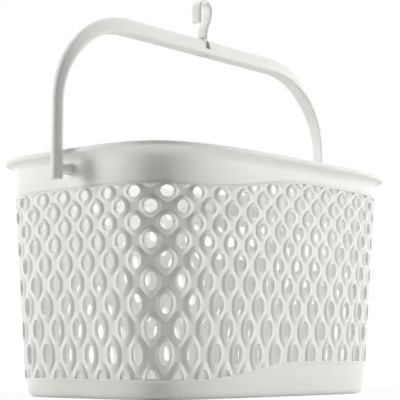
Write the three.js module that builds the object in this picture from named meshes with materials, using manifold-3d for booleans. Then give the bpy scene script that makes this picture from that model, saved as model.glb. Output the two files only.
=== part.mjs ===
// Peg basket: a pierced, moulded basket whose handle swings on two pegs and carries a swivel hook.
// Millimetres, +Z up. The origin is the middle of the underside, and the handle's axis runs along X.
import * as THREE from 'three';
import { mergeVertices } from 'three/addons/utils/BufferGeometryUtils.js';
import Module from 'manifold-3d';

const wasm = await Module();
wasm.setup();

// Rim: a rounded rectangle with bowed sides, drawn as a superellipse
const RIM_LENGTH = 251.4;
const RIM_WIDTH = 166.9;
const RIM_SQUARENESS = 4.2;
const RIM_HEIGHT = 145;
const LIP_THICKNESS = 3.2;
const LIP_EDGE_RADIUS = 0.9;
const LIP_FILLET = 4.5;
const LIP_OVERHANG = 5.6;

// Wall: leans in towards the base, and the plain bands are set in from the pierced zone
const WALL_DRAFT = 0.069;
const WALL_THICKNESS = 2.4;
const BAND_STEP = 0.9;
const BAND_STEP_HEIGHT = 0.6;
const FLOOR_THICKNESS = 2.4;
const BASE_ROUND = 4;

// Pierced zone: its borders climb along the long sides, between two shares of half the length
const PIERCED_BOTTOM = 11.7;
const PIERCED_TOP_BELOW_RIM = 23.8;
const BORDER_CLIMB = 9.8;
const CLIMB_START_SHARE = -0.63;
const CLIMB_END_SHARE = 0.12;

// Hole pattern: staggered columns, in rows that close up towards the rim
const COLUMNS = 37;
const COLUMN_SHIFT = 0.142;
const FIRST_ROW_HEIGHT = 10.1;
const FIRST_ROW_SPACING = 15.45;
const LAST_ROW_SPACING = 7.5;
const HOLE_WIDTH = 7.2;
const HOLE_SHARE_OF_ROW = 0.95;
const HOLE_TO_BORDER = 0.8;
const LEAST_HOLE_HEIGHT = 2;

// Pivots: a boss on each end wall holds a peg of the handle
const PIVOT_BELOW_RIM = 11.6;
const PEG_DIAMETER = 6;
const PEG_CLEARANCE = 0.3;
const PEG_HEAD_DIAMETER = 9;
const PEG_HEAD_THICKNESS = 2;
const BOSS_DIAMETER = 8.8;
const BOSS_PROUD = 1.2;
const BOSS_TO_HOLE = 1;

// Handle: slim legs outside the rim, swelling through the bends to the grip, with a narrow crown all along
const LEG_TO_RIM = 2.5;
const LEG_THICKNESS = 5.2;
const LEG_WIDTH = 8;
const LEG_TAIL = 6.9;
const GRIP_ABOVE_RIM = 78.4;
const GRIP_HEIGHT = 10.2;
const GRIP_WIDTH = 10.4;
const LEG_CROWN_SHARE = 0.45;
const GRIP_CROWN_SHARE = 0.5;
const CROWN_ROUND_SHARE = 0.9;
const STRAP_SIDE_SHARE = 0.3;
const STRAP_ROUND_SHARE = 0.14;
const BEND_RADIUS = 61.6;

// Hook: a curved strip on a round neck, which is pushed down through the grip until its head snaps out
const HOOK_THICKNESS = 2.4;
const HOOK_WIDTH = 8;
const HOOK_LOOP_RADIUS = 5.5;
const HOOK_LOOP_OFFSET = -0.4;
const HOOK_LOOP_RISE = 20.2;
const HOOK_TIP_DROP = 9.8;
const HOOK_CLEARANCE = 0.3;
const COLLAR_DIAMETER = 6.8;
const COLLAR_HEIGHT = 1;
const NECK_DIAMETER = 5;
const SLOT_MOUTH = 5.2;
const SLOT_DEPTH = 6.6;
const NECK_HEAD_DIAMETER = 7;
const NECK_HEAD_THICKNESS = 1.8;

const OUTLINE_SAMPLES = 1440;
const ROUND_SIDES = 20;
const BEND_STEPS = 14;
const HOOK_STEPS = 30;

// Heights that follow from the rim
const PIERCED_TOP = RIM_HEIGHT - PIERCED_TOP_BELOW_RIM;
const PIVOT_HEIGHT = RIM_HEIGHT - PIVOT_BELOW_RIM;
const GRIP_UNDERSIDE = RIM_HEIGHT + GRIP_ABOVE_RIM;
const GRIP_TOP = GRIP_UNDERSIDE + GRIP_HEIGHT;

const PLASTIC = { color: 0xe9e8e2, roughness: 0.42, metalness: 0 };

// Closed surfaces are gathered triangle by triangle and welded where corners coincide
class Surface {
  points = [];

  triangle(a, b, c) {
    this.points.push(a, b, c);
  }

  quad(a, b, c, d) {
    this.triangle(a, b, c);
    this.triangle(a, c, d);
  }

  // Skin between two closed rings with as many corners, the second one further along the skin
  band(ring, next) {
    ring.forEach((corner, k) => {
      const after = (k + 1) % ring.length;
      this.quad(corner, ring[after], next[after], next[k]);
    });
  }

  fan(centre, ring) {
    ring.forEach((corner, k) => this.triangle(centre, corner, ring[(k + 1) % ring.length]));
  }

  geometry() {
    return mergeVertices(new THREE.BufferGeometry().setFromPoints(this.points), 1e-4);
  }
}

// Booleans on closed geometries
function solidOf(geometry) {
  const bare = geometry.clone();
  bare.deleteAttribute('normal');
  bare.deleteAttribute('uv');
  const welded = mergeVertices(bare, 1e-4);
  return new wasm.Manifold(new wasm.Mesh({
    numProp: 3,
    vertProperties: new Float32Array(welded.attributes.position.array),
    triVerts: new Uint32Array(welded.index.array),
  }));
}

function geometryOf(solid) {
  const mesh = solid.getMesh();
  const geometry = new THREE.BufferGeometry();
  geometry.setAttribute('position', new THREE.BufferAttribute(mesh.vertProperties, mesh.numProp));
  geometry.setIndex(new THREE.BufferAttribute(mesh.triVerts, 1));
  geometry.computeVertexNormals();
  return geometry;
}

function rodAlongX(diameter, fromX, toX) {
  const rod = new THREE.CylinderGeometry(diameter / 2, diameter / 2, Math.abs(toX - fromX), ROUND_SIDES);
  rod.rotateZ(Math.PI / 2);
  rod.translate((fromX + toX) / 2, 0, PIVOT_HEIGHT);
  return solidOf(rod);
}

// Rim outline: the superellipse's point in one direction from the middle, and the way out of the basket there
function outlineAt(angle) {
  const halfLength = RIM_LENGTH / 2;
  const halfWidth = RIM_WIDTH / 2;
  const way = new THREE.Vector2(Math.cos(angle) / halfLength, Math.sin(angle) / halfWidth);
  const size = Math.abs(way.x) ** RIM_SQUARENESS + Math.abs(way.y) ** RIM_SQUARENESS;
  const reach = size ** (-1 / RIM_SQUARENESS);
  const slope = (value) => Math.sign(value) * Math.abs(value) ** (RIM_SQUARENESS - 1);
  return {
    point: new THREE.Vector2(reach * Math.cos(angle), reach * Math.sin(angle)),
    outward: new THREE.Vector2(slope(way.x) / halfLength, slope(way.y) / halfWidth).normalize(),
  };
}

// Distance of the wall's faces inside the rim's outline
const piercedInset = (height) => LIP_OVERHANG + WALL_DRAFT * (RIM_HEIGHT - height);
const bandInset = (height) => piercedInset(height) + BAND_STEP;
const innerInset = (height) => piercedInset(height) + WALL_THICKNESS;

// Columns stand at equal steps round the wall at half its height, counted from the middle of the -X end
const outlineTable = (() => {
  const table = [];
  let travelled = 0;
  let previous = null;
  for (let k = 0; k <= OUTLINE_SAMPLES; k += 1) {
    const angle = Math.PI + (2 * Math.PI * k) / OUTLINE_SAMPLES;
    const { point, outward } = outlineAt(angle);
    const onWall = point.addScaledVector(outward, -piercedInset(RIM_HEIGHT / 2));
    if (previous) travelled += onWall.distanceTo(previous);
    table.push({ angle, travelled });
    previous = onWall;
  }
  return table;
})();
const WALL_PERIMETER = outlineTable[OUTLINE_SAMPLES].travelled;
const PANELS = 2 * COLUMNS;
const PANEL_WIDTH = WALL_PERIMETER / PANELS;

function outlineAtColumn(column) {
  const turns = (column + COLUMN_SHIFT) / PANELS;
  const distance = (turns - Math.floor(turns)) * WALL_PERIMETER;
  const after = outlineTable.findIndex((entry) => entry.travelled >= distance);
  const high = outlineTable[Math.max(after, 1)];
  const low = outlineTable[Math.max(after, 1) - 1];
  const share = (distance - low.travelled) / (high.travelled - low.travelled);
  return outlineAt(THREE.MathUtils.lerp(low.angle, high.angle, share));
}

function wallPoint(column, inset, height) {
  const { point, outward } = outlineAtColumn(column);
  return new THREE.Vector3(point.x - outward.x * inset, point.y - outward.y * inset, height);
}

function climbAt(column) {
  const share = outlineAtColumn(column).point.x / (RIM_LENGTH / 2);
  return BORDER_CLIMB * THREE.MathUtils.smoothstep(share, CLIMB_START_SHARE, CLIMB_END_SHARE);
}
const borderLow = (column) => PIERCED_BOTTOM + climbAt(column);
const borderHigh = (column) => PIERCED_TOP + climbAt(column);

// Panel edges lie midway between the columns, so every hole is inside one panel
const PANEL_EDGES = Array.from({ length: PANELS }, (_, k) => k - 0.5);
const ringAt = (inset, height) => PANEL_EDGES.map((edge) => {
  const level = height(edge);
  return wallPoint(edge, inset(level), level);
});
const levelRing = (inset, height) => ringAt(() => inset, () => height);

// Rows fill the height of the pierced zone, each step a little shorter than the one below it
const MEAN_ROW_SPACING = (FIRST_ROW_SPACING + LAST_ROW_SPACING) / 2;
const ROW_STEPS = Math.max(2, Math.round((PIERCED_TOP - FIRST_ROW_HEIGHT) / MEAN_ROW_SPACING));
const ROW_SPACING_LOSS = (FIRST_ROW_SPACING - LAST_ROW_SPACING) / (ROW_STEPS - 1);
const rowSpacing = (row) => FIRST_ROW_SPACING - ROW_SPACING_LOSS * row;
const rowHeight = (row) => FIRST_ROW_HEIGHT + row * FIRST_ROW_SPACING
  - (ROW_SPACING_LOSS * row * (row - 1)) / 2;

// Part of a convex outline between two heights
function clipToHeights(outline, low, high) {
  const keep = (points, inside, level) => points.flatMap((point, k) => {
    const next = points[(k + 1) % points.length];
    const kept = inside(point) ? [point] : [];
    if (inside(point) !== inside(next)) {
      kept.push(point.clone().lerp(next, (level - point.y) / (next.y - point.y)));
    }
    return kept;
  });
  const above = keep(outline, (point) => point.y > low, low);
  return keep(above, (point) => point.y < high, high);
}

// Lozenge hole in panel coordinates: along the wall from the panel's middle, and height
function holeOutline(column, row) {
  const centre = rowHeight(row);
  const reach = (HOLE_SHARE_OF_ROW * rowSpacing(row - 0.5)) / 2;
  const half = HOLE_WIDTH / 2;
  const outline = [[0, reach], [half, 0], [0, -reach], [-half, 0]]
    .map(([along, up]) => new THREE.Vector2(along, centre + up));
  return clipToHeights(outline, borderLow(column) + HOLE_TO_BORDER, borderHigh(column) - HOLE_TO_BORDER);
}

// A hole is left out where too little of it is inside the borders, or where a pivot boss stands
function holesOfPanel(column) {
  const nearBoss = (BOSS_DIAMETER + HOLE_WIDTH) / 2 + BOSS_TO_HOLE;
  const { point } = outlineAtColumn(column);
  const holes = [];
  for (let row = 0; row <= ROW_STEPS; row += 1) {
    const outline = (column + row) % 2 === 0 ? holeOutline(column, row) : [];
    const heights = outline.map((corner) => corner.y);
    const tall = outline.length > 2 && Math.max(...heights) - Math.min(...heights) > LEAST_HOLE_HEIGHT;
    const clearOfBoss = Math.hypot(point.y, rowHeight(row) - PIVOT_HEIGHT) > nearBoss;
    if (tall && clearOfBoss) holes.push(outline);
  }
  return holes;
}

// Pierced panel: both faces of the wall, and the walls of the holes between them
function addPanel(surface, column) {
  const edge = (side, height) => new THREE.Vector2((side * PANEL_WIDTH) / 2, height(column + side / 2));
  const contour = [edge(-1, borderLow), edge(1, borderLow), edge(1, borderHigh), edge(-1, borderHigh)];
  const holes = holesOfPanel(column);
  const flat = [...contour, ...holes.flat()];
  const onSkin = (inset) => ({ x, y }) => {
    const atEdge = Math.abs(x) === PANEL_WIDTH / 2;
    const place = atEdge ? PANEL_EDGES[(column + (x > 0 ? 1 : 0)) % PANELS] : column + x / PANEL_WIDTH;
    return wallPoint(place, inset(y), y);
  };
  const toOuter = onSkin(piercedInset);
  const toInner = onSkin(innerInset);
  THREE.ShapeUtils.triangulateShape(contour, holes).forEach(([a, b, c]) => {
    surface.triangle(toOuter(flat[a]), toOuter(flat[b]), toOuter(flat[c]));
    surface.triangle(toInner(flat[a]), toInner(flat[c]), toInner(flat[b]));
  });
  holes.forEach((hole) => surface.band(hole.map(toOuter).reverse(), hole.map(toInner).reverse()));
}

// Basket: one shell from the base up the outside, over the lip and down the inside to the floor
function basketShell() {
  const surface = new Surface();
  const lipUnderside = RIM_HEIGHT - LIP_THICKNESS;
  const bandTop = lipUnderside - LIP_FILLET;
  const edge = LIP_EDGE_RADIUS;
  const cut = 1 - Math.SQRT1_2;
  const outside = [
    levelRing(bandInset(0) + BASE_ROUND, 0),
    levelRing(bandInset(0) + BASE_ROUND * cut, BASE_ROUND * cut),
    ringAt(bandInset, () => BASE_ROUND),
    ringAt(bandInset, (column) => borderLow(column) - BAND_STEP_HEIGHT),
    ringAt(piercedInset, borderLow),
  ];
  const overLip = [
    ringAt(piercedInset, borderHigh),
    ringAt(bandInset, (column) => borderHigh(column) + BAND_STEP_HEIGHT),
    ringAt(bandInset, () => bandTop),
    levelRing(bandInset(bandTop) - LIP_FILLET, lipUnderside),
    levelRing(edge, lipUnderside),
    levelRing(0, lipUnderside + edge),
    levelRing(0, RIM_HEIGHT - edge),
    levelRing(edge, RIM_HEIGHT),
    levelRing(innerInset(RIM_HEIGHT) - edge, RIM_HEIGHT),
    ringAt(innerInset, () => RIM_HEIGHT - edge),
    ringAt(innerInset, borderHigh),
  ];
  const inside = [
    ringAt(innerInset, borderLow),
    ringAt(innerInset, () => FLOOR_THICKNESS + BASE_ROUND),
    levelRing(innerInset(0) + BASE_ROUND, FLOOR_THICKNESS),
  ];
  [outside, overLip, inside].forEach((rings) => {
    rings.slice(1).forEach((ring, k) => surface.band(rings[k], ring));
  });
  for (let column = 0; column < PANELS; column += 1) addPanel(surface, column);
  surface.fan(new THREE.Vector3(0, 0, 0), [...outside[0]].reverse());
  surface.fan(new THREE.Vector3(0, 0, FLOOR_THICKNESS), inside[inside.length - 1]);
  return solidOf(surface.geometry());
}

const WALL_OUTSIDE_X = RIM_LENGTH / 2 - bandInset(PIVOT_HEIGHT);
const WALL_INSIDE_X = RIM_LENGTH / 2 - innerInset(PIVOT_HEIGHT);

function basketGeometry() {
  const holeDiameter = PEG_DIAMETER + 2 * PEG_CLEARANCE;
  const middleOfWall = (WALL_OUTSIDE_X + WALL_INSIDE_X) / 2;
  const withPivot = (shell, side) => shell
    .add(rodAlongX(BOSS_DIAMETER, side * middleOfWall, side * (WALL_OUTSIDE_X + BOSS_PROUD)))
    .subtract(rodAlongX(holeDiameter, side * (WALL_INSIDE_X - BOSS_DIAMETER), side * RIM_LENGTH / 2));
  return geometryOf([-1, 1].reduce(withPivot, basketShell()));
}

// Handle strap: six-sided sections with rounded corners, narrowing from the inner face to the crown
const LEG_INNER_X = RIM_LENGTH / 2 + LEG_TO_RIM;
const LEG_OUTER_X = LEG_INNER_X + LEG_THICKNESS;
const BEND_CENTRE = new THREE.Vector2(LEG_OUTER_X - BEND_RADIUS, GRIP_TOP - BEND_RADIUS);

function strapSection(inner, outer, share) {
  const height = inner.distanceTo(outer);
  const towardsGrip = THREE.MathUtils.smoothstep(share, 0, 0.5);
  const width = THREE.MathUtils.lerp(LEG_WIDTH, GRIP_WIDTH, towardsGrip);
  const half = width / 2;
  const crown = THREE.MathUtils.lerp(LEG_CROWN_SHARE, GRIP_CROWN_SHARE, towardsGrip) * half;
  const edgeRound = STRAP_ROUND_SHARE * Math.min(height, width);
  const crownRound = CROWN_ROUND_SHARE * crown;
  const shoulder = STRAP_SIDE_SHARE * height;
  const right = [[half, 0], [half, shoulder], [crown, height]];
  const left = right.map(([across, up]) => [-across, up]).reverse();
  const corners = [...right, ...left].map(([across, up]) => new THREE.Vector2(across, up));
  const rounded = corners.flatMap((corner, k) => {
    const round = k === 2 || k === 3 ? crownRound : edgeRound;
    const towards = (other) => corner.clone().add(other.clone().sub(corner).setLength(round));
    const before = towards(corners[(k + 5) % 6]);
    const after = towards(corners[(k + 1) % 6]);
    const middle = before.clone().add(after).multiplyScalar(0.25).addScaledVector(corner, 0.5);
    return [before, middle, after];
  });
  return rounded.map(({ x, y }) => {
    const place = inner.clone().lerp(outer, y / height);
    return new THREE.Vector3(place.x, x, place.y);
  });
}

// Stations along the strap, from one leg's end to the other's: inner and outer points in the XZ plane
function strapStations() {
  const leg = (height, trim) => ({
    inner: new THREE.Vector2(LEG_INNER_X + trim, height),
    outer: new THREE.Vector2(LEG_OUTER_X - trim, height),
    share: 0,
  });
  const tail = PIVOT_HEIGHT - LEG_TAIL;
  const trim = STRAP_ROUND_SHARE * LEG_THICKNESS;
  const stations = [leg(tail, trim / 2), leg(tail + trim, 0), leg(PIVOT_HEIGHT, 0)];
  for (let k = 0; k <= BEND_STEPS; k += 1) {
    const share = k / BEND_STEPS;
    const angle = (share * Math.PI) / 2;
    const onArc = (radiusX, radiusZ) => new THREE.Vector2(
      BEND_CENTRE.x + radiusX * Math.cos(angle),
      BEND_CENTRE.y + radiusZ * Math.sin(angle),
    );
    const inner = onArc(LEG_INNER_X - BEND_CENTRE.x, GRIP_UNDERSIDE - BEND_CENTRE.y);
    stations.push({ inner, outer: onArc(BEND_RADIUS, BEND_RADIUS), share });
  }
  const otherSide = stations.map(({ inner, outer, share }) => ({
    inner: new THREE.Vector2(-inner.x, inner.y),
    outer: new THREE.Vector2(-outer.x, outer.y),
    share,
  })).reverse();
  return [...stations, ...otherSide];
}

function strapSolid() {
  const surface = new Surface();
  const sections = strapStations().map(({ inner, outer, share }) => strapSection(inner, outer, share));
  const centreOf = (section) => section
    .reduce((sum, corner) => sum.add(corner), new THREE.Vector3())
    .divideScalar(section.length);
  sections.slice(1).forEach((section, k) => surface.band(section, sections[k]));
  const last = sections[sections.length - 1];
  surface.fan(centreOf(sections[0]), sections[0]);
  surface.fan(centreOf(last), [...last].reverse());
  return solidOf(surface.geometry());
}

// Upright round rod on the axis of the hook's neck
function rodOnNeck(diameter, fromZ, toZ) {
  const rod = new THREE.CylinderGeometry(diameter / 2, diameter / 2, toZ - fromZ, ROUND_SIDES);
  rod.rotateX(Math.PI / 2);
  rod.translate(0, 0, (fromZ + toZ) / 2);
  return solidOf(rod);
}

const COLLAR_FOOT = GRIP_TOP + HOOK_CLEARANCE;
const NECK_HEAD_FOOT = GRIP_UNDERSIDE + HOOK_CLEARANCE;
const NECK_HEAD_TOP = NECK_HEAD_FOOT + NECK_HEAD_THICKNESS;

// Seat for the neck, with a slot from its upper part to the front of the grip, and a recess for its head
function slotSolid() {
  const wide = 2 * HOOK_CLEARANCE;
  const mouth = new THREE.BoxGeometry(SLOT_MOUTH, GRIP_WIDTH, 2 * SLOT_DEPTH);
  mouth.translate(0, -GRIP_WIDTH / 2, GRIP_TOP);
  return solidOf(mouth)
    .add(rodOnNeck(NECK_DIAMETER + wide, GRIP_UNDERSIDE - GRIP_HEIGHT, GRIP_TOP + GRIP_HEIGHT))
    .add(rodOnNeck(NECK_HEAD_DIAMETER + wide, GRIP_UNDERSIDE - GRIP_HEIGHT, NECK_HEAD_TOP + HOOK_CLEARANCE));
}

function handleGeometry() {
  const headFace = WALL_INSIDE_X - PEG_CLEARANCE;
  const middleOfLeg = (LEG_INNER_X + LEG_OUTER_X) / 2;
  const withPeg = (strap, side) => strap
    .add(rodAlongX(PEG_DIAMETER, side * (headFace - PEG_HEAD_THICKNESS / 2), side * middleOfLeg))
    .add(rodAlongX(PEG_HEAD_DIAMETER, side * (headFace - PEG_HEAD_THICKNESS), side * headFace));
  return geometryOf([-1, 1].reduce(withPeg, strapSolid()).subtract(slotSolid()));
}

// The hook's middle line rises from the collar, leans out and turns over into the tip
function hookMiddleLine() {
  const loopHeight = GRIP_TOP + HOOK_LOOP_RISE;
  const foot = COLLAR_FOOT + COLLAR_HEIGHT / 2;
  const points = [[0, foot], [0, COLLAR_FOOT + COLLAR_HEIGHT]];
  for (let k = 0; k <= 6; k += 1) {
    const angle = (k * Math.PI) / 6;
    points.push([
      HOOK_LOOP_OFFSET + HOOK_LOOP_RADIUS * Math.cos(angle),
      loopHeight + HOOK_LOOP_RADIUS * Math.sin(angle),
    ]);
  }
  points.push([HOOK_LOOP_OFFSET - HOOK_LOOP_RADIUS, loopHeight - HOOK_TIP_DROP]);
  const corners = points.map(([along, up]) => new THREE.Vector3(along, up, 0));
  return new THREE.CatmullRomCurve3(corners, false, 'centripetal');
}

function hookGeometry() {
  const curve = hookMiddleLine();
  const sideOf = (side) => Array.from({ length: HOOK_STEPS + 1 }, (_, k) => {
    const point = curve.getPoint(k / HOOK_STEPS);
    const along = curve.getTangent(k / HOOK_STEPS);
    const half = (side * HOOK_THICKNESS) / 2;
    return new THREE.Vector2(point.x - along.y * half, point.y + along.x * half);
  });
  const outline = new THREE.Shape([...sideOf(1), ...sideOf(-1).reverse()]);
  const band = new THREE.ExtrudeGeometry(outline, { depth: HOOK_WIDTH, bevelEnabled: false });
  band.rotateX(Math.PI / 2);
  band.translate(0, HOOK_WIDTH / 2, 0);
  return geometryOf(solidOf(band)
    .add(rodOnNeck(COLLAR_DIAMETER, COLLAR_FOOT, COLLAR_FOOT + COLLAR_HEIGHT))
    .add(rodOnNeck(NECK_DIAMETER, NECK_HEAD_FOOT, COLLAR_FOOT + COLLAR_HEIGHT / 2))
    .add(rodOnNeck(NECK_HEAD_DIAMETER, NECK_HEAD_FOOT, NECK_HEAD_TOP)));
}

function moulding(name, geometry) {
  const mesh = new THREE.Mesh(geometry, new THREE.MeshStandardMaterial(PLASTIC));
  mesh.name = name;
  return mesh;
}

const pegBasket = new THREE.Group();
pegBasket.add(
  moulding('basket', basketGeometry()),
  moulding('handle', handleGeometry()),
  moulding('hook', hookGeometry()),
);

export default pegBasket;
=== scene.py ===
"""Peg basket: moulded pierced basket, swinging handle and swivel hook, dressed for a studio picture."""

import math

import bmesh
import bpy
from bpy.props import FloatProperty, FloatVectorProperty, IntProperty, PointerProperty
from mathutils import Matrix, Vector
from mathutils.kdtree import KDTree


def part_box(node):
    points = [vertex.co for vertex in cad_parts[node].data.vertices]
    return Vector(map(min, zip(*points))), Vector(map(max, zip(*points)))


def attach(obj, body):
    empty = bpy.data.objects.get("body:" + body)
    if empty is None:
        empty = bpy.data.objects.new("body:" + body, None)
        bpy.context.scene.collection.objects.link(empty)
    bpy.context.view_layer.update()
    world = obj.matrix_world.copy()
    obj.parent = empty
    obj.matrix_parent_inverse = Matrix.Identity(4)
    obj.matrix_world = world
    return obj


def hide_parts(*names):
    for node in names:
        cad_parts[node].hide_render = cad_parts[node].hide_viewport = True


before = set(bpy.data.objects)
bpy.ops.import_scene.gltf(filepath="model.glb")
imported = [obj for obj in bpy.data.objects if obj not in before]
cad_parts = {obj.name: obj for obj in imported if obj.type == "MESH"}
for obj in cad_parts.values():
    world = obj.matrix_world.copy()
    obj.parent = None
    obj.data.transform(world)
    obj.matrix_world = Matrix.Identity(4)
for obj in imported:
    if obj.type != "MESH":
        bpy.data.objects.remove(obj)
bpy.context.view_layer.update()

bl_info = {
    "name": "Peg basket",
    "version": (1, 0, 0),
    "blender": (4, 5, 0),
    "location": "3D View > Sidebar > Peg basket",
    "description": "Moulds a pierced peg basket with its handle and hook, and sets a studio round it",
    "category": "Object",
}

MM = 0.001
BASKET_LOW, BASKET_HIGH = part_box("basket")
HANDLE_LOW, HANDLE_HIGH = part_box("handle")

# Points closer than this, in metres, are one point.
TOUCHING = 1e-7

# Edge of a plain band: millimetres from the border, and share of the bead's height there.
BEAD_LINE = ((0, 0.6), (0.2, 0.92), (0.6, 1), (1, 0.92), (1.4, 0.5), (1.9, 0.1), (2.6, 0))

# Edges of the lip: millimetres in from the rim, and up from the lip's underside or down from its top.
LIP_UNDER_EDGE = ((0.75, 0.14), (0.2, 0.62), (0, 1.3))
LIP_TOP_EDGE = ((0, 1.3), (0.2, 0.6), (0.7, 0.14), (1.5, 0))

# Rounded edge of a boss: shares of its radius in from the face, and in from the side.
BOSS_EDGE = ((1, 0), (0.62, 0.08), (0.3, 0.3), (0.08, 0.62), (0, 1))

# Camera of the picture: its place, its turn from the basket's width and its upward tilt in radians,
# and its lens and sensor in millimetres.
CAMERA_PLACE = (-637.3 * MM, -552.4 * MM, 24.4 * MM)
CAMERA_TURN = 0.8545
CAMERA_TILT = 0.1203
CAMERA_LENS = 116.46
CAMERA_SENSOR = 36

# Side lights: metres to the right of the view's middle, and metres behind the basket's middle.
SIDE_LIGHTS = {"side_light_left": (-1.51, 0.02), "side_light_right": (1.45, 0.18)}
SIDE_LIGHT_HEIGHT = 0.41
SIDE_LIGHT_AIM = 0.2
SIDE_LIGHT_SIZE = (0.4, 0.8)

# Lights above the basket: height, and size along the length and the width, in metres.
TOP_LIGHT_HEIGHT = 1.5
TOP_LIGHT_SIZE = (1.3, 1.3)
INNER_LIGHT_HEIGHT = 0.2
INNER_LIGHT_SIZE = (0.18, 0.1)


def linear(hex_code):
    """Turns an sRGB hex colour into the linear values that shaders take."""
    parts = [int(hex_code[k:k + 2], 16) / 255 for k in (1, 3, 5)]
    return tuple(c / 12.92 if c <= 0.04045 else ((c + 0.055) / 1.055) ** 2.4 for c in parts)


class BasketSizes(bpy.types.PropertyGroup):
    """Sizes of the basket moulding."""

    length: FloatProperty(
        name="Length", description="Length of the rim", unit="LENGTH",
        default=BASKET_HIGH[0] - BASKET_LOW[0])
    width: FloatProperty(
        name="Width", description="Width of the rim", unit="LENGTH",
        default=BASKET_HIGH[1] - BASKET_LOW[1])
    height: FloatProperty(
        name="Height", description="Top of the rim above the underside", unit="LENGTH",
        default=BASKET_HIGH[2])
    squareness: FloatProperty(
        name="Squareness", description="Exponent of the rim's outline, 2 for an oval", default=4.2)
    overhang: FloatProperty(
        name="Lip overhang", description="How far the lip stands out from the pierced wall", unit="LENGTH",
        default=5.6 * MM)
    draft: FloatProperty(
        name="Draft", description="How far the wall leans in for each unit of depth", default=0.069)
    wall: FloatProperty(
        name="Wall", description="Thickness of the wall", unit="LENGTH", default=2.4 * MM)
    band_step: FloatProperty(
        name="Band step", description="How far the plain bands lie inside the pierced zone", unit="LENGTH",
        default=0.9 * MM)
    bead: FloatProperty(
        name="Bead", description="How far the edges of the plain bands stand out", unit="LENGTH",
        default=0.75 * MM)
    lip: FloatProperty(
        name="Lip", description="Thickness of the lip", unit="LENGTH", default=3.2 * MM)
    base_round: FloatProperty(
        name="Base round", description="Radius between wall and underside", unit="LENGTH", default=4 * MM)
    floor: FloatProperty(
        name="Floor", description="Thickness of the floor", unit="LENGTH", default=2.4 * MM)


class PiercingSizes(bpy.types.PropertyGroup):
    """Sizes of the pierced zone and of its holes."""

    bottom: FloatProperty(
        name="Bottom", description="Lower border above the underside, at the low end", unit="LENGTH",
        default=11.7 * MM)
    below_rim: FloatProperty(
        name="Below rim", description="Upper border below the rim, at the low end", unit="LENGTH",
        default=23.8 * MM)
    climb: FloatProperty(
        name="Climb", description="How far both borders climb to the high end", unit="LENGTH",
        default=9.8 * MM)
    climb_start: FloatProperty(
        name="Climb start", description="Where the climb starts, as a share of half the length",
        default=-0.63)
    climb_end: FloatProperty(
        name="Climb end", description="Where the climb ends, as a share of half the length",
        default=0.12)
    columns: IntProperty(
        name="Columns", description="Holes in one row round the basket", default=37)
    column_shift: FloatProperty(
        name="Column shift", description="Turn of the pattern, in half columns", default=0.142)
    first_row: FloatProperty(
        name="First row", description="Height of the lowest row", unit="LENGTH", default=10.1 * MM)
    first_spacing: FloatProperty(
        name="First spacing", description="Step from the lowest row to the next", unit="LENGTH",
        default=15.45 * MM)
    spacing_loss: FloatProperty(
        name="Spacing loss", description="How much shorter each step is than the one below it", unit="LENGTH",
        default=0.8833 * MM)
    row_pairs: IntProperty(
        name="Row pairs", description="Rows from base to rim, in pairs", default=6)
    hole_wide: FloatProperty(
        name="Hole width", description="Half width of a hole, in half columns", default=0.43)
    hole_tall: FloatProperty(
        name="Hole height", description="Half height of a hole, in row steps", default=0.44)
    dome_wide: FloatProperty(
        name="Dome width", description="Half width of the dome round a hole, in half columns", default=0.71)
    dome_tall: FloatProperty(
        name="Dome height", description="Half height of the dome round a hole, in row steps", default=0.77)
    dome_flow: FloatProperty(
        name="Dome flow", description="How far a dome's outline runs with the waves of its neighbours",
        default=0.22)
    dome_proud: FloatProperty(
        name="Dome proud", description="How far a dome stands out from the skin of the wall", unit="LENGTH",
        default=1.1 * MM)
    skin_depth: FloatProperty(
        name="Skin depth", description="How far the skin between the domes lies inside the pierced face",
        unit="LENGTH", default=0.7 * MM)


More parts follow.
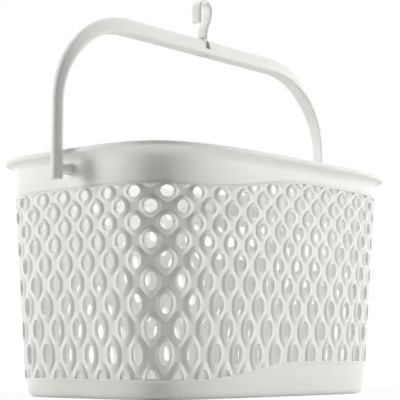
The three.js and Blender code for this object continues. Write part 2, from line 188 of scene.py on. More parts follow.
class HandleSizes(bpy.types.PropertyGroup):
    """Sizes of the handle and its pivots."""

    pivot_below_rim: FloatProperty(
        name="Pivot below rim", description="Axis of the pivots below the rim", unit="LENGTH",
        default=11.6 * MM)
    peg: FloatProperty(name="Peg", description="Diameter of the pivot pegs", unit="LENGTH", default=6 * MM)
    peg_clearance: FloatProperty(
        name="Peg clearance", description="Room round a peg in its hole", unit="LENGTH", default=0.3 * MM)
    peg_head: FloatProperty(
        name="Peg head", description="Diameter of a peg's head", unit="LENGTH", default=9 * MM)
    head_thickness: FloatProperty(
        name="Head thickness", description="Thickness of a peg's head", unit="LENGTH", default=2 * MM)
    boss: FloatProperty(
        name="Boss", description="Diameter of the boss round a pivot hole", unit="LENGTH", default=8.8 * MM)
    boss_proud: FloatProperty(
        name="Boss proud", description="How far a boss stands out from the band", unit="LENGTH",
        default=1.2 * MM)
    leg_thickness: FloatProperty(
        name="Leg thickness", description="Thickness of the legs along the axis", unit="LENGTH",
        default=5.2 * MM)
    leg_width: FloatProperty(
        name="Leg width", description="Width of the legs", unit="LENGTH", default=8 * MM)
    grip_height: FloatProperty(
        name="Grip height", description="Height of the grip", unit="LENGTH", default=10.2 * MM)
    grip_width: FloatProperty(
        name="Grip width", description="Width of the grip", unit="LENGTH",
        default=HANDLE_HIGH[1] - HANDLE_LOW[1])
    bend: FloatProperty(
        name="Bend", description="Outer radius of the bends", unit="LENGTH", default=61.6 * MM)
    leg_crown: FloatProperty(
        name="Leg crown", description="Width of a leg's outer face as a share of its inner face",
        default=0.45)
    grip_crown: FloatProperty(
        name="Grip crown", description="Width of the grip's top as a share of its underside", default=0.5)
    crown_round: FloatProperty(
        name="Crown roundness", description="Rounding of the crown as a share of half its width", default=0.9)
    side_share: FloatProperty(
        name="Sides", description="Height of the upright sides as a share of the thickness", default=0.3)
    round_share: FloatProperty(
        name="Roundness", description="Rounding of the corners as a share of the smaller side", default=0.14)
    slot_mouth: FloatProperty(
        name="Slot mouth", description="Width of the slot in front of the neck", unit="LENGTH",
        default=5.2 * MM)
    slot_depth: FloatProperty(
        name="Slot depth", description="Depth of the slot from the top of the grip", unit="LENGTH",
        default=6.6 * MM)


class HookSizes(bpy.types.PropertyGroup):
    """Sizes of the hook."""

    thickness: FloatProperty(
        name="Thickness", description="Thickness of the curved strip", unit="LENGTH", default=2.4 * MM)
    width: FloatProperty(
        name="Width", description="Width of the curved strip", unit="LENGTH", default=8 * MM)
    loop: FloatProperty(
        name="Loop", description="Radius of the loop's middle line", unit="LENGTH", default=5.5 * MM)
    offset: FloatProperty(
        name="Offset", description="Middle of the loop along the grip", unit="LENGTH", default=-0.4 * MM)
    rise: FloatProperty(
        name="Rise", description="Middle of the loop above the grip", unit="LENGTH", default=20.18 * MM)
    tip_drop: FloatProperty(
        name="Tip drop", description="How far the tip reaches below the loop's middle", unit="LENGTH",
        default=9.8 * MM)
    clearance: FloatProperty(
        name="Clearance", description="Room round the neck in the grip", unit="LENGTH", default=0.3 * MM)
    collar: FloatProperty(
        name="Collar", description="Diameter of the collar on the grip", unit="LENGTH", default=6.8 * MM)
    collar_height: FloatProperty(
        name="Collar height", description="Height of the collar", unit="LENGTH", default=1 * MM)
    neck: FloatProperty(name="Neck", description="Diameter of the neck", unit="LENGTH", default=5 * MM)
    head: FloatProperty(
        name="Head", description="Diameter of the head below the neck", unit="LENGTH", default=7 * MM)
    head_thickness: FloatProperty(
        name="Head thickness", description="Thickness of the head", unit="LENGTH", default=1.8 * MM)


class FinishLook(bpy.types.PropertyGroup):
    """Colour and gloss of the plastic."""

    colour: FloatVectorProperty(
        name="Plastic", description="Colour of the plastic", subtype="COLOR", size=3, min=0, max=1,
        default=linear("#E7E7E4"))
    shade: FloatVectorProperty(
        name="Plastic shade", description="Colour of its slightly darker patches", subtype="COLOR", size=3,
        min=0, max=1, default=linear("#DFDFDB"))
    grain: FloatProperty(
        name="Grain", description="Size of the moulded grain", unit="LENGTH", default=0.6 * MM)


class StageLook(bpy.types.PropertyGroup):
    """Light and floor of the studio."""

    side_power: FloatProperty(
        name="Side lights", description="Power of each side light", subtype="POWER", default=15.8)
    top_power: FloatProperty(
        name="Top light", description="Power of the light above the basket", subtype="POWER", default=18.2)
    inner_power: FloatProperty(
        name="Inner light", description="Power of the light over the opening", subtype="POWER", default=0.065)
    fill: FloatProperty(name="Fill", description="Strength of the light from all round", default=0.005)
    floor_colour: FloatVectorProperty(
        name="Floor", description="Colour of the floor", subtype="COLOR", size=3, min=0, max=1,
        default=linear("#FAFAF8"))


def deselect_all():
    """Leaves edit mode and clears the selection."""
    if bpy.context.mode != "OBJECT":
        bpy.ops.object.mode_set(mode="OBJECT")
    bpy.ops.object.select_all(action="DESELECT")


def swept(name, rings, ends):
    """Draws a ring and extrudes it through the others. The ends are capped, joined to each other or open."""
    deselect_all()
    bpy.ops.mesh.primitive_circle_add(vertices=len(rings[0]), radius=1, enter_editmode=True)
    piece = bpy.context.object
    piece.name = name
    drawn = bmesh.from_edit_mesh(piece.data)
    for corner, place in zip(drawn.verts, rings[0]):
        corner.co = place
    bmesh.update_edit_mesh(piece.data)
    bpy.ops.mesh.select_mode(type="EDGE")
    bpy.ops.mesh.select_all(action="SELECT")
    for before, after in zip(rings, rings[1:]):
        bpy.ops.mesh.extrude_region_move()
        places = KDTree(len(before))
        for index, place in enumerate(before):
            places.insert(place, index)
        places.balance()
        drawn = bmesh.from_edit_mesh(piece.data)
        for corner in drawn.verts:
            if corner.select:
                corner.co = after[places.find(corner.co)[1]]
        bmesh.update_edit_mesh(piece.data)
    if ends == "capped":
        bpy.ops.mesh.edge_face_add()
        bpy.ops.mesh.select_all(action="DESELECT")
        bpy.ops.mesh.select_non_manifold()
        bpy.ops.mesh.edge_face_add()
    bpy.ops.mesh.select_all(action="SELECT")
    if ends == "joined":
        bpy.ops.mesh.remove_doubles(threshold=TOUCHING)
    if ends != "open":
        bpy.ops.mesh.normals_make_consistent(inside=False)
    bpy.ops.object.mode_set(mode="OBJECT")
    return piece


def cut_away(piece, cutter):
    """Cuts one closed piece out of another and deletes the cutter."""
    deselect_all()
    piece.select_set(True)
    bpy.context.view_layer.objects.active = piece
    bpy.ops.object.modifier_add(type="BOOLEAN")
    cut = piece.modifiers[-1]
    cut.operation = "DIFFERENCE"
    cut.solver = "EXACT"
    cut.object = cutter
    bpy.ops.object.modifier_apply(modifier=cut.name)
    deselect_all()
    cutter.select_set(True)
    bpy.ops.object.delete()


def joined(name, pieces):
    """Joins pieces of one moulding into one object."""
    deselect_all()
    for piece in pieces:
        piece.select_set(True)
    bpy.context.view_layer.objects.active = pieces[0]
    bpy.ops.object.join()
    whole = bpy.context.object
    whole.name = name
    whole.data.name = name
    return whole


def finished(piece, node, smooth_below):
    """Shades a moulding smooth below an angle, gives it its plastic, and puts it in its solid's place."""
    deselect_all()
    piece.select_set(True)
    bpy.context.view_layer.objects.active = piece
    bpy.ops.object.shade_smooth_by_angle(angle=math.radians(smooth_below))
    piece.data.materials.clear()
    piece.data.materials.append(moulded_polypropylene(node))
    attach(piece, node)
    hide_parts(node)


def smoothstep(value, start, end):
    """Rises from 0 at start to 1 at end without corners."""
    share = min(1, max(0, (value - start) / (end - start)))
    return share * share * (3 - 2 * share)


def quarter_turn(steps):
    """Angles of a quarter turn in even steps, both ends among them."""
    return [math.pi / 2 * k / steps for k in range(steps + 1)]


def circle(radius, sides=32):
    """Points of a circle round the origin."""
    angles = [2 * math.pi * k / sides for k in range(sides)]
    return [(radius * math.cos(angle), radius * math.sin(angle)) for angle in angles]


class WallShape:
    """The basket's wall: its outline, its lean, and the columns and rows of its holes."""

    def __init__(self, basket, piercing):
        self.basket = basket
        self.piercing = piercing
        self.panels = 2 * piercing.columns
        steps = 3600  # fine enough to measure the way round by
        self.turns = [math.pi + 2 * math.pi * k / steps for k in range(steps + 1)]
        middle = self.inset(basket.height / 2)
        self.lengths = [0.0]
        last = self.at_turn(self.turns[0], middle)
        for turn in self.turns[1:]:
            place = self.at_turn(turn, middle)
            self.lengths.append(self.lengths[-1] + (place - last).length)
            last = place
        self.columns_seen = {}

    def at_turn(self, turn, inset):
        """Point of the outline in one direction from the middle, moved in by the inset."""
        point, outward = self.outline(turn)
        return point - outward * inset

    def outline(self, turn):
        """Point of the rim's outline and the direction out of the basket there."""
        half_x = self.basket.length / 2
        half_y = self.basket.width / 2
        power = self.basket.squareness
        way_x = math.cos(turn)
        way_y = math.sin(turn)
        reach = ((abs(way_x) / half_x) ** power + (abs(way_y) / half_y) ** power) ** (-1 / power)
        point = Vector((reach * way_x, reach * way_y))
        slope_x = math.copysign(abs(point.x / half_x) ** (power - 1) / half_x, point.x)
        slope_y = math.copysign(abs(point.y / half_y) ** (power - 1) / half_y, point.y)
        return point, Vector((slope_x, slope_y)).normalized()

    def at_column(self, column):
        """Outline point and outward direction at a place counted in half columns."""
        key = round(column % self.panels, 6) % self.panels
        if key not in self.columns_seen:
            share = ((key + self.piercing.column_shift) / self.panels) % 1
            wanted = share * self.lengths[-1]
            low, high = 0, len(self.lengths) - 1
            while high - low > 1:
                half = (low + high) // 2
                if self.lengths[half] <= wanted:
                    low = half
                else:
                    high = half
            part = (wanted - self.lengths[low]) / (self.lengths[high] - self.lengths[low])
            turn = self.turns[low] + part * (self.turns[high] - self.turns[low])
            self.columns_seen[key] = self.outline(turn)
        return self.columns_seen[key]

    def inset(self, height):
        """Distance of the pierced surface inside the rim's outline."""
        return self.basket.overhang + self.basket.draft * (self.basket.height - height)

    def row_height(self, row):
        """Height of a row above the underside."""
        loss = self.piercing.spacing_loss * row * (row - 1) / 2
        return self.piercing.first_row + row * self.piercing.first_spacing - loss

    def climb(self, along):
        """How far the borders have climbed at a place along the length."""
        share = along / (self.basket.length / 2)
        return self.piercing.climb * smoothstep(share, self.piercing.climb_start, self.piercing.climb_end)

    def ring(self, profile, corners=296):
        """Closed ring round the wall, at one point of a profile.

        The point is an inset from the pierced face ("wall") or from the rim ("rim"), and a height that
        climbs with the borders ("border") or stays level ("flat").
        """
        base, inset, level, height = profile
        ring = []
        for k in range(corners):
            point, outward = self.at_column(k * self.panels / corners)
            wall = point - outward * self.inset(self.basket.height / 2)
            up = height + (self.climb(wall.x) if level == "border" else 0)
            place = point - outward * (inset + (self.inset(up) if base == "wall" else 0))
            ring.append(Vector((place.x, place.y, up)))
        return ring


def eye_rings(piercing, wall):
    """One eye of the pierced wall in half columns, row steps and depth: skin, dome, hole and inner face."""
    steps = 4
    brow_way = 0.42  # from the foot of the dome to the hole
    brow_rise = 0.8  # of the dome's full height
    skin_depth = piercing.skin_depth / MM
    proud = piercing.dome_proud / MM
    inner_depth = wall / MM
    depths = (skin_depth, skin_depth, skin_depth - brow_rise * proud, skin_depth - proud,
              inner_depth, inner_depth)
    rings = [[] for _ in depths]
    for k in range(4 * steps):
        quarter, step = divmod(k, steps)
        share = step / steps if quarter % 2 == 0 else 1 - step / steps
        side = 1 if quarter in (0, 3) else -1
        up = 1 if quarter < 2 else -1
        wide = math.cos(share * math.pi / 2) if share < 1 else 0
        tall = math.sin(share * math.pi / 2)
        skin = Vector(((1 + math.cos(math.pi * share)) / 2, share))
        foot = Vector((wide, tall)).lerp(skin, piercing.dome_flow)
        foot = Vector((piercing.dome_wide * foot.x, piercing.dome_tall * foot.y))
        hole = Vector((piercing.hole_wide * wide, piercing.hole_tall * tall))
        brow = foot.lerp(hole, brow_way)
        for ring, place, depth in zip(rings, (skin, foot, brow, hole, hole, skin), depths):
            ring.append(Vector((side * place.x, up * place.y, -depth)))
    return rings


def close_slivers(panel, shape, rings, low, high):
    """Closes the holes of which a border leaves only a sliver: their rings shrink to a point."""
    least_open = 0.22  # of the hole's height
    around = len(rings[0])
    eye_size = around * len(rings)
    hole_edges = slice(3 * around, 5 * around)
    corners = panel.data.vertices
    for start in range(0, len(corners), eye_size):
        eye = [corners[start + k] for k in range(eye_size)]
        column = sum(corner.co.x for corner in eye) / len(eye)
        row = sum(corner.co.y for corner in eye) / len(eye)
        point, outward = shape.at_column(column)
        wall = point - outward * shape.inset(shape.row_height(row))
        bottom, top = (shape.row_height(row + side * shape.piercing.hole_tall) - shape.climb(wall.x)
                       for side in (-1, 1))
        if min(top, high) - max(bottom, low) < least_open * (top - bottom):
            for corner in eye[hole_edges]:
                corner.co.x = column
                corner.co.y = row


def pierced_wall(shape):
    """Wall of eyes: one eye is drawn, repeated in staggered rows, wrapped round and cut at both borders."""
    piercing = shape.piercing
    off_inner_face = 0.05 * MM  # keeps its inner face apart from that of the plain bands
    under_band = 0.2 * MM  # how far it runs on behind them
    same_place = 0.02 * MM
    crisp_rings = (1, 3, 4)  # foot of the dome and both edges of the hole
    rings = eye_rings(piercing, shape.basket.wall - off_inner_face)
    eye = swept("pierced_wall", rings, "open")
    for edge in eye.data.edges:
        first, second = (corner // len(rings[0]) for corner in edge.vertices)
        edge.use_edge_sharp = first == second and first in crisp_rings
    for offset, count in (((2, 0, 0), piercing.columns), ((0, 2, 0), piercing.row_pairs)):
        bpy.ops.object.modifier_add(type="ARRAY")
        rows = eye.modifiers[-1]
        rows.use_relative_offset = False
        rows.use_constant_offset = True
        rows.constant_offset_displace = offset
        rows.count = count
        bpy.ops.object.modifier_apply(modifier=rows.name)
    bpy.ops.object.duplicate()
    between = bpy.context.object
    bpy.ops.transform.translate(value=(1, 1, 0))
    bpy.ops.object.transform_apply(location=True)
    panel = joined("pierced_wall", [eye, between])
    low = piercing.bottom - under_band
    high = shape.basket.height - piercing.below_rim + under_band
    close_slivers(panel, shape, rings, low, high)
    # The climb is left out until both borders are cut, so that each cut is one level plane.
    for corner in panel.data.vertices:
        column, row, depth = corner.co
        point, outward = shape.at_column(column)
        up = shape.row_height(row)
        place = point - outward * (shape.inset(up) - depth * MM)
        corner.co = (place.x, place.y, up - shape.climb(place.x))
    bpy.ops.object.mode_set(mode="EDIT")
    bpy.ops.mesh.select_all(action="SELECT")
    bpy.ops.mesh.remove_doubles(threshold=same_place)
    bpy.ops.mesh.delete_loose()
    bpy.ops.mesh.select_all(action="SELECT")
    bpy.ops.mesh.normals_make_consistent(inside=False)
    for level, below in ((low, True), (high, False)):
        bpy.ops.mesh.select_all(action="SELECT")
        bpy.ops.mesh.bisect(
            plane_co=(0, 0, level), plane_no=(0, 0, 1), clear_inner=below, clear_outer=not below,
            threshold=TOUCHING)
    bpy.ops.mesh.select_all(action="SELECT")
    bpy.ops.mesh.fill_holes(sides=0)
    bpy.ops.object.mode_set(mode="OBJECT")
    for corner in panel.data.vertices:
        corner.co.z += shape.climb(corner.co.x)
    return panel


def band_edge(basket, border, way):
    """Line of a plain band from its border over the bead, upwards for a way of 1 and downwards for -1."""
    return [("wall", basket.band_step - share * basket.bead, "border", border + way * away * MM)
            for away, share in BEAD_LINE]


def lip_band(shape):
    """Plain band above the pierced zone, with the lip round its top."""
    basket = shape.basket
    border = basket.height - shape.piercing.below_rim
    step = basket.band_step
    top = basket.height
    under = top - basket.lip
    inside = basket.wall
    at_top = shape.inset(top)
    flare = 5.2 * MM
    drop = 5 * MM
    plain_top = under - 1.3 * drop
    inner_round = 1.2 * MM
    profile = [("wall", inside, "border", border), *band_edge(basket, border, 1)]
    profile.append(("wall", step, "flat", plain_top))
    profile += [
        ("wall", step - flare * (1 - math.cos(a)), "flat", under - drop * (1 - math.sin(a)))
        for a in quarter_turn(8)
    ]
    profile += [("rim", inset * MM, "flat", under + up * MM) for inset, up in LIP_UNDER_EDGE]
    profile += [("rim", inset * MM, "flat", top - down * MM) for inset, down in LIP_TOP_EDGE]
    profile += [
        ("rim", at_top + inside - inner_round, "flat", top),
        ("rim", at_top + inside - 0.45 * MM, "flat", top - 0.12 * MM),
        ("wall", inside - 0.12 * MM, "flat", top - 0.5 * MM),
        ("wall", inside, "flat", top - inner_round),
        ("wall", inside, "flat", under),
    ]
    return swept("lip_band", [shape.ring(line) for line in [*profile, profile[0]]], "joined")


def base_tray(shape):
    """Plain band below the pierced zone, the rounded base edge and the floor."""
    basket = shape.basket
    border = shape.piercing.bottom
    step = basket.band_step
    turn = basket.base_round
    inside = basket.wall
    floor = basket.floor
    quarter = quarter_turn(5)
    profile = [("wall", step + turn * (1 - math.sin(a)), "flat", turn * (1 - math.cos(a))) for a in quarter]
    profile += [*reversed(band_edge(basket, border, -1)), ("wall", inside, "border", border)]
    profile += [
        ("wall", inside + turn * (1 - math.sin(a)), "flat", floor + turn * (1 - math.cos(a)))
        for a in reversed(quarter)
    ]
    return swept("base_tray", [shape.ring(line) for line in profile], "capped")


def turned_on_axis(name, side, height, line, ends):
    """Round piece on the pivots' axis. The line gives distance from the basket's middle and radius."""
    rings = [[Vector((side * along, a, height + b)) for a, b in circle(radius)] for along, radius in line]
    return swept(name, rings, ends)


def turned_upright(name, line, ends):
    """Round piece on the neck's axis. The line gives height and radius."""
    rings = [[Vector((a, b, height)) for a, b in circle(radius)] for height, radius in line]
    return swept(name, rings, ends)


def rounded_section(thickness, width, radius, steps):
    """Oblong with rounded corners, round its middle: across its thickness, and across its width."""
    section = []
    for corner, (side, top) in enumerate(((1, -1), (1, 1), (-1, 1), (-1, -1))):
        for k in range(steps):
            angle = (corner - 1 + k / (steps - 1)) * math.pi / 2
            section.append((
                top * (thickness / 2 - radius) + radius * math.sin(angle),
                side * (width / 2 - radius) + radius * math.cos(angle),
            ))
    return section


def strap_section(handle, thickness, width, spread):
    """Six-sided section, rounded and narrowing to its crown: out from its inner face, and across."""
    half = width / 2
    steps = 5
    crown_corners = (2, 3)
    crown = half * (handle.leg_crown + (handle.grip_crown - handle.leg_crown) * spread)
    edge_round = handle.round_share * min(thickness, width)
    right = [(0, half), (handle.side_share * thickness, half), (thickness, crown)]
    corners = [Vector(place) for place in right + [(out, -across) for out, across in reversed(right)]]
    section = []
    for k, corner in enumerate(corners):
        round_off = handle.crown_round * crown if k in crown_corners else edge_round
        before = corner + (corners[k - 1] - corner).normalized() * round_off
        after = corner + (corners[(k + 1) % len(corners)] - corner).normalized() * round_off
        for step in range(steps + 1):
            t = step / steps
            section.append((1 - t) ** 2 * before + 2 * t * (1 - t) * corner + t * t * after)
    return section


def handle_strap(handle):
    """Strap of the handle: up one leg, round the bend, along the grip, and the same way down."""
    outer_x = HANDLE_HIGH[0]
    inner_x = outer_x - handle.leg_thickness
    top = HANDLE_HIGH[2]
    under = top - handle.grip_height
    tail = HANDLE_LOW[2]
    centre = Vector((outer_x - handle.bend, 0, top - handle.bend))
    foot_round = 0.9 * MM
    bend_steps = 28
    full_width_at = 0.5  # of the way round the bend
    grip_shares = (0.6, 0.3, 0.12)  # of the straight grip's half length
    stations = []
    for angle in quarter_turn(3):
        trim = foot_round * (1 - math.sin(angle))
        height = tail + foot_round * (1 - math.cos(angle))
        stations.append(((inner_x + trim, height), (outer_x - trim, height), 0, trim))
    for height in (tail + 5 * MM, tail + 12 * MM, (tail + centre.z) / 2):
        stations.append(((inner_x, height), (outer_x, height), 0, 0))
    for k in range(bend_steps + 1):
        share = k / bend_steps
        angle = share * math.pi / 2
        inner = (centre.x + (inner_x - centre.x) * math.cos(angle),
                 centre.z + (under - centre.z) * math.sin(angle))
        outer = (centre.x + handle.bend * math.cos(angle), centre.z + handle.bend * math.sin(angle))
        stations.append((inner, outer, share, 0))
    for along in grip_shares:
        stations.append(((centre.x * along, under), (centre.x * along, top), 1, 0))
    other = [((-inner[0], inner[1]), (-outer[0], outer[1]), share, trim)
             for inner, outer, share, trim in reversed(stations)]
    rings = []
    for inner, outer, share, trim in [*stations, *other]:
        inner = Vector((inner[0], 0, inner[1]))
        outer = Vector((outer[0], 0, outer[1]))
        thick = (outer - inner).length
        spread = smoothstep(share, 0, full_width_at)
        width = handle.leg_width + (handle.grip_width - handle.leg_width) * spread - 2 * trim
        way = (outer - inner).normalized()
        rings.append([inner + way * out + Vector((0, across, 0))
                      for out, across in strap_section(handle, thick, width, spread)])
    return swept("handle_moulding", rings, "capped")


def hook_strip(hook, collar_foot, collar_top, loop_height):
    """Curved strip of the hook: out of the collar, up to the loop, over it and down to the rounded tip."""
    right = hook.offset + hook.loop
    left = hook.offset - hook.loop
    tip = loop_height - hook.tip_drop
    stem = loop_height - collar_top
    reach = 0.45 * stem  # how far the stem stays upright at either end
    stem_steps = 12
    loop_steps = 16
    tip_round = 1.2 * MM
    tip_loss = 0.3  # of the strip's section, at the very tip
    line = [((0, collar_foot + hook.collar_height / 2), (0, 1)), ((0, collar_top), (0, 1))]
    for k in range(1, stem_steps + 1):
        t = k / stem_steps
        along = right * t * t * (3 - 2 * t)
        up = collar_top + 3 * t * (1 - t) ** 2 * reach
        up += 3 * t * t * (1 - t) * (stem - reach) + t ** 3 * stem
        climb = 3 * (1 - t) ** 2 * reach + 6 * t * (1 - t) * (stem - 2 * reach) + 3 * t * t * reach
        line.append(((along, up), (right * 6 * t * (1 - t), climb)))
    for k in range(1, loop_steps + 1):
        angle = math.pi * k / loop_steps
        along = hook.offset + hook.loop * math.cos(angle)
        up = loop_height + hook.loop * math.sin(angle)
        line.append(((along, up), (-math.sin(angle), math.cos(angle))))
    line += [((left, loop_height - 0.5 * hook.tip_drop), (0, -1)), ((left, tip + tip_round), (0, -1))]
    section = rounded_section(hook.thickness, hook.width, radius=1.1 * MM, steps=5)
    rings = []
    for (along, up), (slope_x, slope_z) in line:
        way = Vector((slope_x, 0, slope_z)).normalized()
        out = Vector((way.z, 0, -way.x))
        rings.append([Vector((along, 0, up)) + out * a + Vector((0, b, 0)) for a, b in section])
    for angle in quarter_turn(4)[1:-1]:
        small = 1 - tip_loss * (1 - math.cos(angle))
        up = tip + tip_round * (1 - math.sin(angle))
        rings.append([Vector((left - a * small, b * small, up)) for a, b in section])
    return swept("hook_moulding", rings, "capped")


class PEGBASKET_OT_basket(bpy.types.Operator):
    """Moulds the basket: pierced wall, lip, base and pivot bosses"""

    bl_idname = "peg_basket.basket"
    bl_label = "Basket"

    def execute(self, context):
        settings = context.scene.peg_basket
        basket = settings.basket
        handle = settings.handle
        shape = WallShape(basket, settings.piercing)
        pivot = basket.height - handle.pivot_below_rim
        outside = basket.length / 2 - shape.inset(pivot) - basket.band_step
        inside = basket.length / 2 - shape.inset(pivot) - basket.wall
        hole = handle.peg / 2 + handle.peg_clearance
        boss = handle.boss / 2
        face = outside + handle.boss_proud
        root = outside - 0.8 * MM  # within the band, so that the boss grows out of it
        edge = 1 * MM
        chamfer = 0.15 * MM
        past_inside = 5 * MM
        past_face = 1 * MM
        bore = [(inside - past_inside, hole), (face + past_face, hole)]
        boss_line = [
            (root, boss), *((face - a * edge, boss - b * edge) for a, b in BOSS_EDGE),
            (face, hole + chamfer), (face - chamfer, hole), (root, hole), (root, boss),
        ]
        band = lip_band(shape)
        wall = pierced_wall(shape)
        parts = [band, wall, base_tray(shape)]
        for side in (-1, 1):
            for part in (band, wall):
                cut_away(part, turned_on_axis("pivot_bore", side, pivot, bore, "capped"))
            parts.append(turned_on_axis("boss", side, pivot, boss_line, "joined"))
        whole = joined("basket_moulding", parts)
        finished(whole, "basket", smooth_below=62)
        return {"FINISHED"}


class PEGBASKET_OT_handle(bpy.types.Operator):
    """Moulds the handle: legs, bends, grip with its slot, and pivot pegs"""

    bl_idname = "peg_basket.handle"
    bl_label = "Handle"

    def execute(self, context):
        settings = context.scene.peg_basket
        handle = settings.handle
        strap = handle_strap(handle)
        self.cut_neck_seat(strap, handle, settings.hook)
        parts = [strap, *self.pivot_pegs(settings.basket, settings.piercing, handle)]
        whole = joined("handle_moulding", parts)
        finished(whole, "handle", smooth_below=42)
        return {"FINISHED"}

    def cut_neck_seat(self, strap, handle, hook):
        """Cuts the seat of the hook's neck, the recess of its head and the slot in front of it."""
        top = HANDLE_HIGH[2]
        under = top - handle.grip_height
        room = hook.clearance
        beyond = 2 * MM
        foot = under + room + hook.head_thickness + room
        seat = hook.neck / 2 + room
        recess = hook.head / 2 + room
        bore = [(under - beyond, recess), (foot, recess), (foot, seat), (top + beyond, seat)]
        cut_away(strap, turned_upright("neck_bore", bore, "capped"))
        deselect_all()
        bpy.ops.mesh.primitive_cube_add(size=1, location=(0, -handle.grip_width / 2, top))
        mouth = bpy.context.object
        bpy.ops.transform.resize(value=(handle.slot_mouth, handle.grip_width, 2 * handle.slot_depth))
        bpy.ops.object.transform_apply(location=True, rotation=True, scale=True)
        cut_away(strap, mouth)

    def pivot_pegs(self, basket, piercing, handle):
        """Pegs at both legs: a domed head inside the wall, and a fillet where the peg meets its leg."""
        shape = WallShape(basket, piercing)
        inner_x = HANDLE_HIGH[0] - handle.leg_thickness
        pivot = basket.height - handle.pivot_below_rim
        face = basket.length / 2 - shape.inset(pivot) - basket.wall - handle.peg_clearance
        head = handle.peg_head / 2
        peg = handle.peg / 2
        back = face - handle.head_thickness
        edge = 0.3 * MM
        line = [
            (back, 0.55 * head), (back + 0.25 * MM, 0.82 * head), (back + 0.8 * MM, head),
            (face - edge, head), (face, head - edge), (face, peg), (inner_x - 0.8 * MM, peg),
            (inner_x - 0.25 * MM, peg + 0.2 * MM), (inner_x + 0.4 * MM, peg + 0.7 * MM),
        ]
        return [turned_on_axis("peg", side, pivot, line, "capped") for side in (-1, 1)]


class PEGBASKET_OT_hook(bpy.types.Operator):
    """Moulds the hook: curved strip, collar, neck and head"""

    bl_idname = "peg_basket.hook"
    bl_label = "Hook"

    def execute(self, context):
        settings = context.scene.peg_basket
        hook = settings.hook
        grip_top = HANDLE_HIGH[2]
        collar_foot = grip_top + hook.clearance
        collar_top = collar_foot + hook.collar_height
        strip = hook_strip(hook, collar_foot, collar_top, grip_top + hook.rise)
        foot = grip_top - settings.handle.grip_height + hook.clearance
        head_top = foot + hook.head_thickness
        head = hook.head / 2
        neck = hook.neck / 2
        collar = hook.collar / 2
        head_edge = 0.2 * MM
        collar_edge = 0.25 * MM
        collar_round = 0.5 * MM
        turned = turned_upright("neck", [
            (foot, head - 0.7 * MM), (foot + 0.5 * MM, head - 0.1 * MM), (foot + 0.9 * MM, head),
            (head_top - head_edge, head), (head_top, head - head_edge), (head_top, neck), (collar_foot, neck),
            (collar_foot, collar - collar_edge), (collar_foot + collar_edge, collar),
            (collar_top - collar_round, collar), (collar_top - 0.12 * MM, collar - 0.15 * MM),
            (collar_top, collar - collar_round),
        ], "capped")
        whole = joined("hook_moulding", [strip, turned])
        finished(whole, "hook", smooth_below=42)
        return {"FINISHED"}


def add_node(tree, kind, values=None, links=None, **options):
    """Adds a node, sets its options and input values, and links other nodes' outputs to its inputs."""
    made = tree.nodes.new(kind)
    for name, value in options.items():
        setattr(made, name, value)
    for name, value in (values or {}).items():
        made.inputs[name].default_value = value
    for name, source in (links or {}).items():
        tree.links.new(source, made.inputs[name])
    return made


def shows_background(tree):
    """1 for the rays that show the background: from the camera, in gloss and through glass."""
    path = add_node(tree, "ShaderNodeLightPath")
    shown = path.outputs["Is Camera Ray"]
    for kind in ("Is Glossy Ray", "Is Transmission Ray"):
        either = add_node(tree, "ShaderNodeMath", links={0: shown, 1: path.outputs[kind]},
                          operation="MAXIMUM")
        shown = either.outputs["Value"]
    return shown


def moulded_polypropylene(node):
    """Satin injection-moulded polypropylene."""
    # Milky off-white plastic: soft wide highlights, light that spreads a little under the skin,
    # slow drifts of tone from the flow of the melt and a fine grain from the etched mould.
    # The grain is drawn coarser than an etched mould's, so that it shows.
    look = bpy.context.scene.peg_basket.finish
    flow_size = 45 * MM
    sheen_size = 9 * MM
    material = bpy.data.materials.new(f"moulded_polypropylene_{node}")
    material.use_nodes = True
    tree = material.node_tree
    tree.nodes.clear()
    place = add_node(tree, "ShaderNodeTexCoord").outputs["Object"]
    flow = add_node(tree, "ShaderNodeTexNoise", {"Scale": 1 / flow_size, "Detail": 2.0, "Roughness": 0.5},
                    {"Vector": place})
    tone = add_node(tree, "ShaderNodeMix", links={"Factor": flow.outputs["Fac"]}, data_type="RGBA")
    tone.inputs["A"].default_value = (*look.colour, 1)
    tone.inputs["B"].default_value = (*look.shade, 1)
    sheen = add_node(tree, "ShaderNodeTexNoise", {"Scale": 1 / sheen_size, "Detail": 3.0}, {"Vector": place})
    gloss = add_node(tree, "ShaderNodeMapRange", {"To Min": 0.5, "To Max": 0.62},
                     {"Value": sheen.outputs["Fac"]})
    grain = add_node(tree, "ShaderNodeTexNoise", {"Scale": 1 / look.grain, "Detail": 2.0}, {"Vector": place})
    relief = add_node(tree, "ShaderNodeBump", {"Strength": 0.12, "Distance": 0.05 * MM},
                      {"Height": grain.outputs["Fac"]})
    plastic = add_node(
        tree, "ShaderNodeBsdfPrincipled",
        {"IOR": 1.49, "Specular IOR Level": 0.35, "Subsurface Weight": 0.15, "Subsurface Scale": 1.5 * MM},
        {"Base Color": tone.outputs["Result"], "Roughness": gloss.outputs["Result"],
         "Normal": relief.outputs["Normal"]})
    plastic.inputs["Subsurface Radius"].default_value = (1.0, 1.0, 0.9)
    add_node(tree, "ShaderNodeOutputMaterial", links={"Surface": plastic.outputs["BSDF"]})
    return material


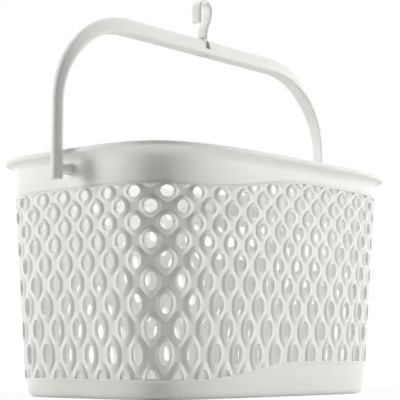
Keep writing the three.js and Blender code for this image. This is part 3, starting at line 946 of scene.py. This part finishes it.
class PEGBASKET_OT_stage(bpy.types.Operator):
    """Sets the floor, the studio light and the camera"""

    bl_idname = "peg_basket.stage"
    bl_label = "Stage"

    def execute(self, context):
        look = context.scene.peg_basket.stage
        just_below = -0.05 * MM
        deselect_all()
        bpy.ops.mesh.primitive_plane_add(size=12, location=(0, 0, just_below))
        floor = context.object
        floor.name = "studio_floor"
        floor.data.materials.append(self.floor_paper(look))
        context.scene.world = self.studio_air(look)
        across = Vector((math.cos(CAMERA_TURN), -math.sin(CAMERA_TURN), 0))
        back = Vector((math.sin(CAMERA_TURN), math.cos(CAMERA_TURN), 0))
        for name, (side, behind) in SIDE_LIGHTS.items():
            place = across * side + back * behind + Vector((0, 0, SIDE_LIGHT_HEIGHT))
            lamp = self.area_light(name, place, SIDE_LIGHT_SIZE, look.side_power)
            aim = Vector((0, 0, SIDE_LIGHT_AIM)) - place
            lamp.rotation_euler = aim.to_track_quat("-Z", "Y").to_euler()
        for name, height, size, power in (
                ("top_light", TOP_LIGHT_HEIGHT, TOP_LIGHT_SIZE, look.top_power),
                ("inner_light", INNER_LIGHT_HEIGHT, INNER_LIGHT_SIZE, look.inner_power)):
            lamp = self.area_light(name, (0, 0, height), size, power)
            lamp.visible_camera = False
        bpy.ops.object.camera_add(
            location=CAMERA_PLACE, rotation=(math.pi / 2 + CAMERA_TILT, 0, -CAMERA_TURN))
        camera = context.object
        camera.name = "picture_camera"
        camera.data.sensor_width = CAMERA_SENSOR
        camera.data.lens = CAMERA_LENS
        camera.data.clip_start = 0.01
        camera.data.clip_end = 50
        context.scene.camera = camera
        context.scene.view_settings.view_transform = "Standard"
        return {"FINISHED"}

    def area_light(self, name, place, size, power):
        """Adds an oblong light that points down."""
        bpy.ops.object.light_add(type="AREA", location=place)
        lamp = bpy.context.object
        lamp.name = name
        lamp.data.shape = "RECTANGLE"
        lamp.data.size, lamp.data.size_y = size
        lamp.data.energy = power
        return lamp

    def floor_paper(self, look):
        """Matt white studio paper."""
        # Even and without gloss. Where the background shows it goes over to white, but keeps a tenth of
        # its own light, and so a soft shadow, near the basket.
        material = bpy.data.materials.new("studio_paper")
        material.use_nodes = True
        tree = material.node_tree
        tree.nodes.clear()
        paper = add_node(tree, "ShaderNodeBsdfDiffuse", {"Color": (*look.floor_colour, 1)})
        white = add_node(tree, "ShaderNodeEmission", {"Color": (1, 1, 1, 1), "Strength": 1.0})
        place = add_node(tree, "ShaderNodeTexCoord").outputs["Object"]
        away = add_node(tree, "ShaderNodeVectorMath", links={0: place}, operation="LENGTH")
        near = add_node(tree, "ShaderNodeMapRange",
                        {"From Min": 0.18, "From Max": 0.5, "To Min": 0.9, "To Max": 1.0},
                        {"Value": away.outputs["Value"]}, interpolation_type="SMOOTHSTEP")
        share = add_node(tree, "ShaderNodeMath",
                         links={0: shows_background(tree), 1: near.outputs["Result"]}, operation="MULTIPLY")
        mixed = add_node(tree, "ShaderNodeMixShader", links={
            0: share.outputs["Value"], 1: paper.outputs["BSDF"], 2: white.outputs["Emission"]})
        add_node(tree, "ShaderNodeOutputMaterial", links={"Surface": mixed.outputs["Shader"]})
        return material

    def studio_air(self, look):
        """White surroundings where the background shows, and an even faint fill for the object."""
        world = bpy.data.worlds.new("studio_air")
        world.use_nodes = True
        tree = world.node_tree
        tree.nodes.clear()
        fill = add_node(tree, "ShaderNodeBackground", {"Color": (1, 1, 1, 1), "Strength": look.fill})
        white = add_node(tree, "ShaderNodeBackground", {"Color": (1, 1, 1, 1), "Strength": 1.0})
        mixed = add_node(tree, "ShaderNodeMixShader", links={
            0: shows_background(tree), 1: fill.outputs["Background"], 2: white.outputs["Background"]})
        add_node(tree, "ShaderNodeOutputWorld", links={"Surface": mixed.outputs["Shader"]})
        return world


class PegBasketSettings(bpy.types.PropertyGroup):
    """All settings of the peg basket."""

    basket: PointerProperty(name="Basket", description="Sizes of the basket", type=BasketSizes)
    piercing: PointerProperty(name="Piercing", description="Sizes of the holes", type=PiercingSizes)
    handle: PointerProperty(name="Handle", description="Sizes of the handle", type=HandleSizes)
    hook: PointerProperty(name="Hook", description="Sizes of the hook", type=HookSizes)
    finish: PointerProperty(name="Finish", description="Look of the plastic", type=FinishLook)
    stage: PointerProperty(name="Stage", description="Look of the studio", type=StageLook)


class PEGBASKET_PT_panel(bpy.types.Panel):
    """Settings and steps of the peg basket"""

    bl_idname = "PEGBASKET_PT_panel"
    bl_label = "Peg basket"
    bl_space_type = "VIEW_3D"
    bl_region_type = "UI"
    bl_category = "Peg basket"

    def draw(self, context):
        settings = context.scene.peg_basket
        for name in ("basket", "piercing", "handle", "hook", "finish", "stage"):
            group = getattr(settings, name)
            box = self.layout.box()
            box.label(text=name.capitalize())
            for key in group.__annotations__:
                box.prop(group, key)
        for step in STEPS:
            self.layout.operator(step.bl_idname)


STEPS = (PEGBASKET_OT_basket, PEGBASKET_OT_handle, PEGBASKET_OT_hook, PEGBASKET_OT_stage)
CLASSES = (
    BasketSizes, PiercingSizes, HandleSizes, HookSizes, FinishLook, StageLook, PegBasketSettings,
    *STEPS, PEGBASKET_PT_panel,
)


def register():
    for cls in CLASSES:
        bpy.utils.register_class(cls)
    bpy.types.Scene.peg_basket = PointerProperty(
        name="Peg basket", description="Settings of the peg basket", type=PegBasketSettings)


def unregister():
    del bpy.types.Scene.peg_basket
    for cls in reversed(CLASSES):
        bpy.utils.unregister_class(cls)


def main():
    register()
    bpy.ops.peg_basket.basket()
    bpy.ops.peg_basket.handle()
    bpy.ops.peg_basket.hook()
    bpy.ops.peg_basket.stage()


if __name__ == "__main__":
    main()
